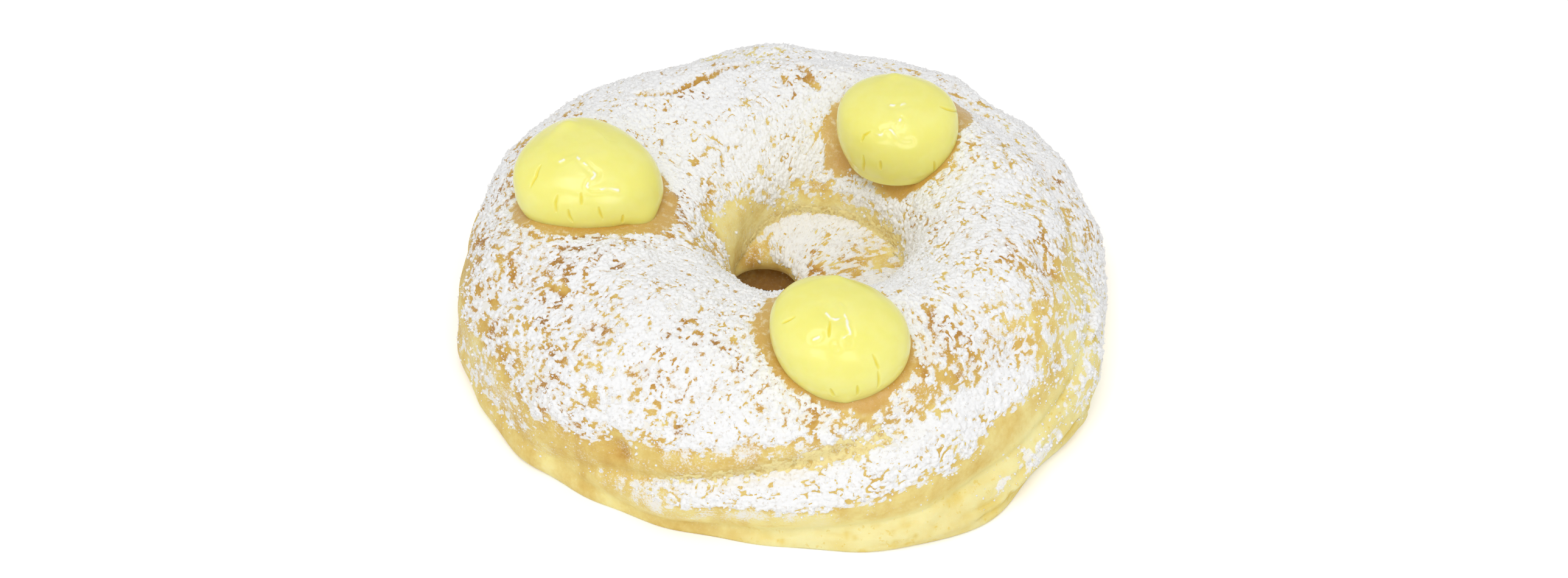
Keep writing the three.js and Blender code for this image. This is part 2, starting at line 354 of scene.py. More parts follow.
def bell(gap, width):
    """A bell: 1 where the gap is 0, falling away over the width."""
    return np.exp(-((gap / width) ** 2))


def around(turn, sizes):
    """A smooth closed curve through sizes spaced evenly round the ring, by cubic blending of four."""
    sizes = np.asarray(sizes, float)
    count = len(sizes)
    place = (turn / 360.0 * count) % count
    start = np.floor(place).astype(int)
    step = place - start
    before, first, second, after = (sizes[(start + offset) % count] for offset in (-1, 0, 1, 2))
    bend = 3 * (first - second) + after - before
    sway = 2 * before - 5 * first + 4 * second - after
    return first + 0.5 * step * (second - before + step * (sway + step * bend))


def straight_around(turn, sizes):
    """A closed run of straight lines through sizes that are spaced evenly round the ring."""
    places = np.arange(len(sizes)) * 360.0 / len(sizes)
    return np.interp(turn, places, sizes, period=360.0)


def turn_apart(turn, middle):
    """How far a turn is from another one, the short way round, in degrees."""
    return (turn - middle + 180.0) % 360.0 - 180.0


def scrambled(cell, seed):
    """A repeatable random number from 0 to 1 for each lattice cell, by mixing the bits of its numbers."""
    mixed = sum(cell[..., axis] * CELL_MIX[axis] for axis in range(3)) + seed * SEED_MIX
    mixed = mixed.astype(np.uint32)
    for shift, multiplier in BIT_MIX:
        mixed = (mixed ^ (mixed >> np.uint32(shift))) * np.uint32(multiplier)
    return (mixed ^ (mixed >> np.uint32(16))) / LARGEST


def soft_noise(points, size, seed):
    """Smooth noise from -1 to 1: random values on a turned lattice, eased between its eight corners."""
    place = points @ LATTICE_TURN / size
    cell = np.floor(place).astype(np.int64)
    step = place - cell
    step = step * step * (3.0 - 2.0 * step)
    total = np.zeros(points.shape[:-1])
    for corner in np.ndindex(2, 2, 2):
        share = np.prod(np.where(corner, step, 1.0 - step), axis=-1)
        total += share * scrambled(cell + np.array(corner), seed)
    return 2.0 * total - 1.0


def layered(points, *layers):
    """Layers of noise added up, each given as (weight, size, seed)."""
    return sum(weight * soft_noise(points, size, seed) for weight, size, seed in layers)


def wandered(points, amount, size, seed):
    """Points moved about by noise, with the next seed for each axis."""
    moves = [soft_noise(points, size, seed + axis) for axis in range(3)]
    return points + amount * np.stack(moves, axis=-1)


def nearby_middles(points, size, seed):
    """The lattice cells about each point, with the way from it to each cell's middle, which is at random."""
    place = points @ LATTICE_TURN / size
    cell = np.floor(place).astype(np.int64)
    for offset in np.ndindex(3, 3, 3):
        other = cell + np.array(offset) - 1
        middle = np.stack([scrambled(other, seed + axis) for axis in range(3)], axis=-1)
        yield other, other + middle - place


def lump_gap(points, size, seed):
    """Distance to the nearest lump middle, in lattice cells, with one middle at random in each cell."""
    nearest = np.full(points.shape[:-1], 9.0)
    for _, away in nearby_middles(points, size, seed):
        nearest = np.minimum(nearest, np.sum(away ** 2, axis=-1))
    return np.sqrt(nearest)


def path_gap(points, path):
    """The shortest way from each point to a path in space, and how far along it that is, 0 to 1."""
    nearest = np.full(points.shape[:-1], 99.0)
    along = np.zeros(points.shape[:-1])
    pieces = len(path) - 1
    for index in range(pieces):
        run = path[index + 1] - path[index]
        off = points - path[index]
        step = np.clip(off @ run / (run @ run + 1e-9), 0.0, 1.0)
        gap = np.linalg.norm(off - step[..., None] * run, axis=-1)
        along = np.where(gap < nearest, (index + step) / pieces, along)
        nearest = np.minimum(nearest, gap)
    return nearest, along


def finer(places, count=24):
    """A path through places, with more places put in evenly between them."""
    places = np.asarray(places, float)
    at = np.linspace(0, len(places) - 1, count)
    return [np.interp(at, np.arange(len(places)), column) for column in places.T]


# The shape of the ring

def skin_grid(turns, face):
    """Turns and faces of a grid on the skin: so many turns, evenly round the ring, at each of the faces."""
    turn = np.linspace(0.0, 360.0, turns, endpoint=False)
    return np.broadcast_arrays(turn[:, None], face[None, :])


def hole_edge(turn, hole):
    """Distance from the ring's axis to the edge of an off-centre round hole, along the turn."""
    x, y, radius = hole
    along = x * np.sin(turn) - y * np.cos(turn)
    across = -x * np.cos(turn) - y * np.sin(turn)
    return along + np.sqrt(radius * radius - across * across)


def rope_reach(turn, face, coil):
    """Distance from the core circle to one coil's oval cut, in the direction of the face angle."""
    outer, high, low = (around(turn, coil[side]) for side in ("outer", "high", "low"))
    inner = hole_edge(np.radians(turn), coil["hole"])
    wide = (outer - inner) / 2
    tall = (high - low) / 2
    off_out = (CORE_RADIUS - (outer + inner) / 2) / wide
    off_up = (CORE_HEIGHT - (high + low) / 2) / tall
    out = np.cos(np.radians(face)) / wide
    up = np.sin(np.radians(face)) / tall
    square = out * out + up * up
    half = off_out * out + off_up * up
    rest = off_out * off_out + off_up * off_up - 1.0
    return (-half + np.sqrt(half * half - square * rest)) / square


def front_right(turn):
    """Where the pale base shows, 0 to 1: from the front round to the right."""
    return ease(-20, 2, turn_apart(turn, 0)) * ease(100, 70, turn_apart(turn, 0))


def dough_lumps(x, y, z):
    """Long plane waves through the dough, added up."""
    total = np.zeros_like(x)
    for height, length, heading, tilt, start in LUMPS:
        level = np.radians(heading)
        rise = np.radians(tilt)
        along = (x * np.cos(level) + y * np.sin(level)) * np.cos(rise) + z * np.sin(rise)
        total += height * np.sin(2 * np.pi * along / length + start)
    return total


def pit_depths(turn, face, reach):
    """Round pits in the crust: each is a bell of its own depth and radius on the skin."""
    total = np.zeros_like(reach)
    for at_turn, at_face, radius, depth in PITS:
        side = np.radians(turn_apart(turn, at_turn)) * (CORE_RADIUS + reach * np.cos(np.radians(face)))
        up = np.radians(face - at_face) * reach
        total += depth * np.exp(-(side * side + up * up) / radius ** 2)
    return total


def dollop_dents(x, y):
    """The hollows that the dollops press into the ring, flat in the middle and steep at the rim."""
    total = np.zeros_like(x)
    for dollop in DOLLOPS.values():
        off_x = (x - dollop.x) / (dollop.half_x * DENT_SPREAD)
        off_y = (y - dollop.y) / (dollop.half_y * DENT_SPREAD)
        total += DENT_DEPTH * np.exp(-(off_x ** 2 + off_y ** 2) ** 2)
    return total


def ring_shape(turn, face):
    """The ring's skin: the soft largest of the coils' reaches, with creases, lumps, pits and dents.

    Gives the points, each coil's share of the skin, how far the second coil lies under the first,
    the depth of the crease there, the depth of the pits and the nearness to the pale base, 0 to 1.
    """
    reaches = np.stack([rope_reach(turn, face, COILS[name]) for name in COIL_NAMES])
    order = np.argsort(reaches, axis=0)[::-1]
    ranked = np.take_along_axis(reaches, order, 0)
    lower = np.minimum(order[0], order[1])
    depths = np.stack([around(turn, COILS[name]["crease"]) for name in COIL_NAMES])
    depth = np.take_along_axis(depths, lower[None], 0)[0]
    gap = ranked[0] - ranked[1]
    # The base runs smoothly into the coil above it at the front right
    beside_base = bell(ranked[0] - reaches[0], 2.5) * front_right(turn)
    softness = around(turn, JOIN_SOFTNESS) + 0.6 * beside_base
    joined = ranked[0] + softness * np.log(np.exp((ranked - ranked[0]) / softness).sum(0))
    reach = joined - depth * bell(gap, CREASE_REACH)
    shares = np.exp((reaches - ranked[0]) / 0.5)
    shares = shares / shares.sum(0)

    radians = np.radians(turn)
    level = np.cos(np.radians(face))
    upright = np.sin(np.radians(face))
    plain = CORE_RADIUS + reach * level
    reach = reach + dough_lumps(plain * np.sin(radians), -plain * np.cos(radians), reach * upright)
    pits = pit_depths(turn, face, reach)
    reach = reach - pits
    out = CORE_RADIUS + reach * level
    x = out * np.sin(radians)
    y = -out * np.cos(radians)
    z = CORE_HEIGHT + reach * upright
    pressed = dollop_dents(x, y) * np.clip((z - DENT_LOWEST) / 4, 0, 1)
    z = np.maximum(z - pressed, 0.0)
    return np.stack([x, y, z], axis=-1), shares, gap, depth, pits, beside_base


def outward(points):
    """Unit normals of a grid that is closed along its rows, from its neighbours both ways."""
    along = np.roll(points, -1, axis=0) - np.roll(points, 1, axis=0)
    normals = np.cross(along, np.gradient(points, axis=1))
    return normals / (np.linalg.norm(normals, axis=-1, keepdims=True) + 1e-12)


def crack_depths(points):
    """Cracks in the crust, in millimetres: a bell across the shortest way to each crack's broken path."""
    total = np.zeros(points.shape[:-1])
    broken = 0.4 + 0.6 * ease(-0.6, 0.0, soft_noise(points, 2.0, 27))
    moved = wandered(points, 0.35, 1.9, 24)
    for depth, width, places in CRACKS:
        gap, along = path_gap(moved, ring_shape(*finer(places, 12))[0])
        taper = np.sqrt(np.maximum(1.0 - (2.0 * along - 1.0) ** 4, 0.0))
        total = np.maximum(total, depth * taper * bell(gap, width))
    return total * broken


def torn_crumb(points, gap, depth, shares):
    """How much of the soft inside shows, 0 to 1: along the creases between coils, widest in the hole."""
    x, y, _ = np.moveaxis(points, -1, 0)
    shoulder = shares[COIL_NAMES.index("shoulder")]
    in_hole = np.clip(shoulder + ease(24, 20, np.hypot(x, y)), 0, 1)
    crease = bell(gap, 1.3 + 2.2 * in_hole) * np.maximum(ease(0.5, 1.1, depth), in_hole)
    # In the hole only the wall above the shoulder is torn
    crease = crease * (1.0 - in_hole * ease(0.35, 0.7, shoulder))
    # Closed again at the right of the front
    crease = crease * np.maximum(in_hole, ease(32, 12, np.degrees(np.arctan2(x, -y))))
    ragged = 0.5 + 0.5 * soft_noise(points, 3.1, 21)
    return np.clip(crease * (0.6 + 0.7 * ragged), 0.0, 1.0)


def crust_skin(turn, face):
    """The ring's skin with its fine relief, for a grid of turns and faces that goes all the way round."""
    points, shares, gap, depth, pits, pale = ring_shape(turn, face)
    normals = outward(points)
    crumb = torn_crumb(points, gap, depth, shares)
    cracks = crack_depths(points)
    # The pale base at the front right is soft sponge, drawn into long folds that rise to the right
    sponge = shares[COIL_NAMES.index("base")] * front_right(turn)
    bubbles = ease(0.36, 0.14, lump_gap(points, 3.2, 41)) + 0.8 * ease(0.4, 0.14, lump_gap(points, 1.9, 45))
    bubbles = 0.6 * bubbles * ease(-0.1, 0.35, soft_noise(points, 5.0, 46))
    drawn = points * (0.2, 0.2, 1.0)
    drawn[..., 2] -= 0.14 * turn_apart(turn, 0)
    folds = ease(0.3, 0.0, np.abs(soft_noise(drawn, 2.4, 47)))
    folds = folds + 0.6 * ease(0.3, 0.0, np.abs(soft_noise(drawn, 1.3, 48)))
    pores = bubbles + 0.7 * folds * ease(-0.3, 0.4, soft_noise(points, 6.0, 50))
    pores = np.clip(pores, 0.0, 1.0) * sponge
    relief = layered(points, (0.14, 3.4, 31), (0.07, 1.8, 32)) - cracks
    relief = relief + sponge * (0.7 * soft_noise(drawn, 2.6, 49) - 0.3 * folds) - 0.5 * pores
    relief = relief - 0.12 * crumb * (1.0 + soft_noise(points, 2.0, 33))
    points = points + normals * (relief * ease(0.2, 2.5, points[..., 2]))[..., None]
    points[..., 2] = np.maximum(points[..., 2], 0.0)
    return Skin(points, outward(points), shares, crumb, pores, pale, pits, cracks)


# Where the sugar lies

def dollop_halo(points):
    """How bare and moist the crust is beside a dollop, and how close to the cream it is, both 0 to 1."""
    x, y, z = np.moveaxis(points, -1, 0)
    bare = np.zeros(x.shape)
    close = np.zeros(x.shape)
    wander = layered(points, (0.8, 3.2, 51), (0.5, 1.3, 52))
    inside = ease(30.0, 26.0, np.hypot(x, y))
    high = ease(15.0, 19.0, z) * (1.0 - inside) + ease(18.8, 20.6, z) * inside
    for dollop in DOLLOPS.values():
        off_x = x - dollop.x
        off_y = y - dollop.y
        past = np.hypot(off_x / dollop.half_x, off_y / dollop.half_y) - 1.0
        past = past * (dollop.half_x + dollop.half_y) / 2
        reach = around(np.degrees(np.arctan2(off_y, off_x)), dollop.halo)
        bare = np.maximum(bare, ease(reach + 0.5, reach - 0.5, past + wander) * high)
        close = np.maximum(close, ease(1.2, -0.6, past) * high)
    return bare, close


def patches(turn, face, places):
    """Soft ovals on the skin, each as high as its share: the highest of them at every place."""
    total = np.zeros(turn.shape)
    for at_turn, at_face, reach_turn, reach_face, share in places:
        off = (turn_apart(turn, at_turn) / reach_turn) ** 2 + ((face - at_face) / reach_face) ** 2
        total = np.maximum(total, share * np.exp(-off))
    return total


def sugar_cover(turn, face, skin, halo):
    """The share of the crust that sugar covers, 0 to 1, from its edges and fullness round the ring."""
    base, _, shoulder, middle, _ = skin.shares
    facing_up = skin.normals[..., 2]
    from_front = turn_apart(turn, 0)
    inner = straight_around(turn, TOP_SUGAR_INNER_EDGE)
    fullness = straight_around(turn, TOP_SUGAR_FULLNESS)
    fullness = fullness + (straight_around(turn, INNER_SUGAR_FULLNESS) - fullness) * ease(58, 94, face)
    # The lower edge hangs down in lobes
    lobes = layered(skin.points, (5.0, 6.5, 55), (3.0, 2.6, 56))
    outer = straight_around(turn, TOP_SUGAR_OUTER_EDGE) + lobes
    on_top = ease(outer - 5.0, outer + 4.0, face) * ease(inner + 9.0, inner - 8.0, face) * fullness
    on_top = on_top * (1.0 - shoulder) * (1.0 - base * ease(70, 40, face))
    bare_strip = middle * ease(47, 57, from_front) * ease(100, 88, from_front)
    on_top = on_top * (1.0 - 0.55 * bare_strip)

    low = straight_around(turn, BASE_SUGAR_LOWER_EDGE)
    on_base = base * ease(low - 5, low + 5, face) * ease(100, 90, face)
    on_base = on_base * straight_around(turn, BASE_SUGAR_FULLNESS)
    on_shoulder = ease(0.2, 0.6, shoulder) * ease(0.05, 0.4, facing_up) * ease(80, 100, face)
    on_shoulder = on_shoulder * straight_around(turn, SHOULDER_SUGAR_FULLNESS)

    crease = straight_around(turn, LEDGE_CREASE)
    ledge_low = straight_around(turn, LEDGE_SUGAR_EDGE) + 0.7 * lobes
    on_ledge = ease(crease + 1.5, crease - 2.0, face) * ease(ledge_low - 5, ledge_low + 5, face)
    on_ledge = on_ledge * ease(LEDGE_FIRST_TURN - 6, LEDGE_FIRST_TURN + 10, from_front)
    on_ledge = 0.94 * on_ledge * ease(LEDGE_LAST_TURN, LEDGE_LAST_TURN - 8, from_front)

    cover = np.maximum.reduce([on_top, on_base, on_shoulder, on_ledge, patches(turn, face, DUST_PATCHES)])
    cover = cover * ease(-0.15, 0.15, facing_up) * (1.0 - patches(turn, face, BARE_PATCHES))
    cover = cover * (1.0 - 0.3 * ease(0.35, 0.9, skin.pits)) * (1.0 - 0.85 * ease(0.1, 0.4, skin.cracks))
    return cover * (1.0 - halo)


def sugar_rank(points):
    """Noise spread evenly from 0 to 1, which says where sugar catches first and where it catches last."""
    noise = layered(points, (0.13, 4.5, 65), (0.26, 1.6, 62), (0.5, 0.9, 63), (0.38, 0.46, 64))
    return 0.5 + 0.5 * np.tanh(0.8 * noise / noise.std())


def clumped(cover):
    """The share of the crust under clumps of sugar: where the cover is thin, most of it is fine dust."""
    return cover ** 1.6


def sugar_clumps(points, normals, chance, size, seed):
    """Height of loose clumps on a skin, in millimetres: balls strewn at random, one to a lattice cell.

    A ball is there if its own random number is below the chance at the skin beside it. Its height is
    how far its middle stands out of the skin plus its round cap; beside it the height falls away.
    """
    facing = normals @ LATTICE_TURN
    height = np.full(len(points), NO_CLUMP)
    for cell, away in nearby_middles(points, size, seed):
        radius = 0.6 + 0.4 * scrambled(cell, seed + 3)
        standing = np.sum(away * facing, axis=-1)
        aside = np.sqrt(np.maximum(np.sum(away * away, axis=-1) - standing ** 2, 0.0))
        cap = np.sqrt(np.maximum(radius ** 2 - aside ** 2, 0.0)) - 1.5 * np.maximum(aside - radius, 0.0)
        there = (scrambled(cell, seed + 4) < chance) & (standing < 0.25 * radius)
        height = np.maximum(height, np.where(there, standing + cap, NO_CLUMP))
    return height * size


# Meshes and materials in common

def grid_quads(rows, columns, close_rows, close_columns):
    """Quads of a grid of points, with its last row and column joined to the first where asked."""
    row = np.arange(rows if close_rows else rows - 1)[:, None]
    column = np.arange(columns if close_columns else columns - 1)[None, :]
    next_row = (row + 1) % rows
    next_column = (column + 1) % columns
    corners = [row * columns + column, next_row * columns + column]
    corners += [next_row * columns + next_column, row * columns + next_column]
    return np.stack(np.broadcast_arrays(*corners), axis=-1).reshape(-1, 4)


def shown_part(quads, shown):
    """The points that the shown quads use, and those quads with these points counted anew."""
    used, corners = np.unique(quads[shown], return_inverse=True)
    return used, corners.reshape(-1, 4)


def make_piece(name, points, faces, material, fields=None):
    """Puts points in millimetres and faces of one size into a smooth new mesh object, with its fields."""
    mesh = bpy.data.meshes.new(name)
    corners = faces.shape[1]
    mesh.vertices.add(len(points))
    mesh.vertices.foreach_set("co", ((points + MIDDLE) * MM).astype(np.float32).ravel())
    mesh.loops.add(faces.size)
    mesh.loops.foreach_set("vertex_index", faces.astype(np.int32).ravel())
    mesh.polygons.add(len(faces))
    mesh.polygons.foreach_set("loop_start", np.arange(0, faces.size, corners, dtype=np.int32))
    mesh.polygons.foreach_set("use_smooth", np.ones(len(faces), dtype=bool))
    mesh.update(calc_edges=True)
    mesh.validate()
    for field, values in (fields or {}).items():
        layer = mesh.attributes.new(field, "FLOAT", "POINT")
        layer.data.foreach_set("value", values.astype(np.float32).ravel())
    mesh.materials.append(material)
    piece = bpy.data.objects.new(name, mesh)
    bpy.context.scene.collection.objects.link(piece)
    return piece


def place_piece(piece, node=None):
    """Makes a piece ride on the part and hides, where there is one, the solid it replaces."""
    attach(piece, "root")
    if node:
        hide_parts(node)


def linear(colour):
    """A colour given as screen values from 0 to 255, as the linear light that shaders take."""
    share = np.asarray(colour, float) / 255.0
    light = np.where(share <= 0.04045, share / 12.92, ((share + 0.055) / 1.055) ** 2.4)
    return (*light, 1.0)


def tinted(colour):
    """A colour with the alpha that sockets want; the output of a node is left as it is."""
    if isinstance(colour, bpy.types.NodeSocket):
        return colour
    return (colour[0], colour[1], colour[2], 1.0)


class NodeMaker:
    """Adds nodes to a material's or a group's tree and links them, one short call for each."""

    def __init__(self, tree):
        self.tree = tree

    def put(self, target, value):
        """Sets an input, or links it where the value is an output."""
        if isinstance(value, bpy.types.NodeSocket):
            self.tree.links.new(value, target)
        else:
            target.default_value = value

    def set(self, node, **inputs):
        """Sets or links a node's inputs by name, with an underscore for each space."""
        for socket, value in inputs.items():
            self.put(node.inputs[socket.replace("_", " ")], value)

    def add(self, kind, settings=None, **inputs):
        """A shader node of a kind, with its own settings and its inputs."""
        node = self.tree.nodes.new("ShaderNode" + kind)
        for setting, value in (settings or {}).items():
            setattr(node, setting, value)
        self.set(node, **inputs)
        return node

    def math(self, operation, first, second, clamp=False):
        """A sum on two values, numbers or outputs."""
        node = self.add("Math", {"operation": operation, "use_clamp": clamp})
        self.put(node.inputs[0], first)
        self.put(node.inputs[1], second)
        return node.outputs[0]

    def times(self, first, second):
        """A value times another, kept from 0 to 1."""
        return self.math("MULTIPLY", first, second, clamp=True)

    def weighted(self, first, first_weight, second, second_weight):
        """Two values added up, each times its weight."""
        parts = [self.math("MULTIPLY", first, first_weight), self.math("MULTIPLY", second, second_weight)]
        return self.math("ADD", *parts)

    def noise(self, place, size_mm, detail=2.0, roughness=0.55):
        """Noise with features of a size in millimetres, 0 to 1."""
        scale = 1.0 / (size_mm * MM)
        node = self.add("TexNoise", Vector=place, Scale=scale, Detail=detail, Roughness=roughness)
        return node.outputs["Fac"]

    def mix(self, share, first, second):
        """A colour between two, by a share from 0 to 1."""
        node = self.add("Mix", {"data_type": "RGBA"})
        self.put(node.inputs[0], share)
        self.put(node.inputs[MIX_FIRST], tinted(first))
        self.put(node.inputs[MIX_SECOND], tinted(second))
        return node.outputs[MIX_RESULT]

    def spread(self, value, low, high, to_low=0.0, to_high=1.0):
        """A value moved from one range to another with soft ends."""
        ends = {"From_Min": low, "From_Max": high, "To_Min": to_low, "To_Max": to_high}
        node = self.add("MapRange", {"interpolation_type": "SMOOTHSTEP"}, Value=value, **ends)
        return node.outputs["Result"]

    def ramp(self, value, stops):
        """A colour ramp through stops of (place, colour)."""
        node = self.add("ValToRGB", Fac=value)
        elements = node.color_ramp.elements
        while len(elements) < len(stops):
            elements.new(0.5)
        for element, (place, colour) in zip(elements, stops):
            element.position = place
            element.color = tinted(colour)
        return node.outputs["Color"]

    def fields(self, *names):
        """The values of a piece's own surface fields."""
        return [self.add("Attribute", {"attribute_name": name}).outputs["Fac"] for name in names]

    def finish(self, shader, height, bump, mirror, inner_light):
        """A shader's bump as (strength, mm), its mirror level and its inner light as (weight, reach, mm)."""
        strength, distance = bump
        weight, reach, depth = inner_light
        raised = self.add("Bump", Strength=strength, Distance=distance * MM, Height=height)
        self.set(shader, Normal=raised.outputs["Normal"], Specular_IOR_Level=mirror)
        self.set(shader, Subsurface_Weight=weight, Subsurface_Radius=reach, Subsurface_Scale=depth * MM)


def new_material(name):
    """An empty material with a Principled BSDF and an output."""
    material = bpy.data.materials.new(name)
    material.use_nodes = True
    material.node_tree.nodes.clear()
    make = NodeMaker(material.node_tree)
    shader = make.add("BsdfPrincipled")
    make.add("OutputMaterial", Surface=shader.outputs["BSDF"])
    return material, make, shader, make.add("TexCoord").outputs["Object"]


def powder_group():
    """Shared powder look: from a place, the fine height of loose powder and patches of painted shade from 0
    to 1.
    """
    name = "loose powder"
    if name in bpy.data.node_groups:
        return bpy.data.node_groups[name]
    group = bpy.data.node_groups.new(name, "ShaderNodeTree")
    group.interface.new_socket("Place", in_out="INPUT", socket_type="NodeSocketVector")
    for result in ("Height", "Tint"):
        group.interface.new_socket(result, in_out="OUTPUT", socket_type="NodeSocketFloat")
    make = NodeMaker(group)
    place = group.nodes.new("NodeGroupInput").outputs["Place"]
    fine = make.noise(place, 0.22, detail=3.0, roughness=0.65)
    coarse = make.noise(place, 0.7)
    # Painted shade: soft grey patches laid by noise, standing in for shadows in the powder
    tint = make.spread(make.noise(place, 0.6, detail=3.0, roughness=0.6), 0.54, 0.7)
    make.set(group.nodes.new("NodeGroupOutput"), Height=make.weighted(fine, 0.5, coarse, 0.5), Tint=tint)
    return group


def powder_look(make, place):
    """The height of loose powder at a place on a piece, and its patches of painted shade."""
    node = make.add("Group", {"node_tree": powder_group()}, Place=place)
    return node.outputs["Height"], node.outputs["Tint"]


def crust_material(looks):
    """Baked choux: pale dough to brown, with painted shade deep in the hole and under the sugar, open pale
    crumb, moist bare rings and a fine dust of sugar.
    """
    material, make, shader, place = new_material("baked choux crust")
    baked, crumb, sponge, pores = make.fields("baked", "crumb", "sponge", "pores")
    moist, amber, dust = make.fields("moist", "amber", "dust")
    broad = make.noise(place, 6.0, detail=3.0)
    fine = make.noise(place, 1.1, detail=4.0, roughness=0.6)
    mottle = make.weighted(broad, 0.3, fine, 0.3)
    shade = make.math("ADD", baked, make.math("SUBTRACT", mottle, 0.3))
    stops = ((0.0, looks.dough), (0.34, looks.pale_crust), (0.62, looks.golden_crust))
    # The darkest stop is painted shade, for the hollow deep in the hole
    stops += ((0.8, looks.deep_crust), (0.92, looks.brown_crust), (1.0, looks.hole_shade_crust))
    crust = make.ramp(shade, stops)
    # The torn crumb and the soft base
    pore = make.spread(make.noise(place, 0.8, detail=3.0, roughness=0.6), 0.62, 0.38)
    crust = make.mix(make.times(crumb, 0.8), crust, make.mix(pore, looks.crumb, looks.crumb_shade))
    holes = make.spread(make.noise(place, 1.0, roughness=0.6), 0.6, 0.72, 0.0, 0.6)
    holes = make.math("ADD", pores, holes)
    pore_depth = make.math("ADD", holes, make.spread(broad, 0.4, 0.7, 0.0, 0.5), clamp=True)
    soft = make.mix(pore_depth, looks.sponge, looks.sponge_pore)
    crust = make.mix(make.times(sponge, 0.85), crust, soft)
    # The moist rings beside the cream
    wet_spots = make.spread(make.noise(place, 1.2, detail=4.0, roughness=0.7), 0.5, 0.67)
    wet = make.mix(wet_spots, looks.moist_crust, looks.moist_sugar)
    wet = make.mix(make.times(amber, 0.9), wet, looks.moist_edge)
    crust = make.mix(make.times(moist, 0.85), crust, wet)
    # The fine dust over all of it
    powder_height, _ = powder_look(make, place)
    specks = make.noise(place, 0.4, detail=4.0, roughness=0.75)
    reach = make.math("SUBTRACT", make.weighted(specks, 1.0, dust, 0.5), 0.7)
    dusted = make.spread(reach, -0.1, 0.14)
    dry = make.weighted(make.spread(fine, 0.3, 0.7, 0.5, 0.68), 1.0, dusted, 0.2)
    rough = make.math("SUBTRACT", dry, make.math("MULTIPLY", moist, 0.3))
    make.set(shader, Base_Color=make.mix(make.times(dusted, 0.92), crust, looks.dust), Roughness=rough)
    wrinkles = make.weighted(fine, 0.6, powder_height, 0.4)
    height = make.weighted(wrinkles, 1.0, make.math("MULTIPLY", pore, crumb), -0.8)
    make.finish(shader, height, (0.5, 0.25), 0.35, (0.12, (1.0, 0.6, 0.25), 1.2))
    return material


def crumb_material(looks):
    """Torn crumb: pale and soft with deeper yellow in its pores, a little light passing through."""
    material, make, shader, place = new_material("torn crumb")
    (pore,) = make.fields("pore")
    fine = make.noise(place, 0.6, detail=4.0, roughness=0.6)
    deep = make.math("ADD", pore, make.spread(fine, 0.35, 0.7, -0.2, 0.35), clamp=True)
    rough = make.spread(fine, 0.3, 0.7, 0.6, 0.8)
    make.set(shader, Base_Color=make.mix(deep, looks.crumb, looks.pore), Roughness=rough)
    make.finish(shader, fine, (0.6, 0.2), 0.3, (0.15, (1.0, 0.7, 0.3), 0.8))
    return material


def sugar_material(looks):
    """Powdered sugar: matt white with soft painted shadows in patches of its grain, a little light passing
    through.
    """
    material, make, shader, place = new_material("powdered sugar")
    height, tint = powder_look(make, place)
    rough = make.spread(height, 0.3, 0.7, 0.8, 0.95)
    make.set(shader, Base_Color=make.mix(tint, looks.sugar, looks.sugar_shade), Roughness=rough)
    make.finish(shader, height, (0.45, 0.18), 0.2, (0.2, (1.0, 1.0, 1.0), 0.4))
    return material


def cream_material(looks):
    """Custard cream: smooth lemon yellow, deeper in its slits, wet gloss with faint streaks, and painted
    glints on its fine folds.
    """
    material, make, shader, place = new_material("custard cream")
    slit, fold = make.fields("slit", "fold")
    streaks = make.noise(place, 5.0, detail=3.0)
    fine = make.noise(place, 0.9)
    body = make.mix(make.spread(streaks, 0.35, 0.68), looks.cream, looks.cream_light)
    body = make.mix(make.times(slit, 0.8), body, looks.cream_deep)
    # Painted highlight: the fine folds are painted near white as glints
    body = make.mix(make.times(fold, 1.7), body, looks.cream_painted_glint)
    make.set(shader, Base_Color=body, Roughness=make.spread(fine, 0.3, 0.7, 0.15, 0.22))
    height = make.weighted(streaks, 1.2, fine, 0.3)
    make.finish(shader, height, (0.1, 0.05), 0.38, (0.6, (1.0, 0.85, 0.3), 2.6))
    return material


# Settings that a user would change

def colour_setting(name, description, screen):
    """A colour property whose default is given in screen values."""
    start = linear(screen)[:3]
    return bpy.props.FloatVectorProperty(
        name=name, description=description, default=start, subtype="COLOR", size=3, min=0.0, max=1.0
    )


def length_setting(name, description, size):
    """A length property whose default is given in millimetres."""
    start = size * MM
    return bpy.props.FloatProperty(
        name=name, description=description, default=start, min=0.01 * MM, subtype="DISTANCE", unit="LENGTH"
    )


def number_setting(name, description, start, subtype="NONE"):
    """A plain number property, such as a power in watts."""
    return bpy.props.FloatProperty(name=name, description=description, default=start, subtype=subtype)


def count_setting(name, description, start, least):
    """A whole number property."""
    return bpy.props.IntProperty(name=name, description=description, default=start, min=least)


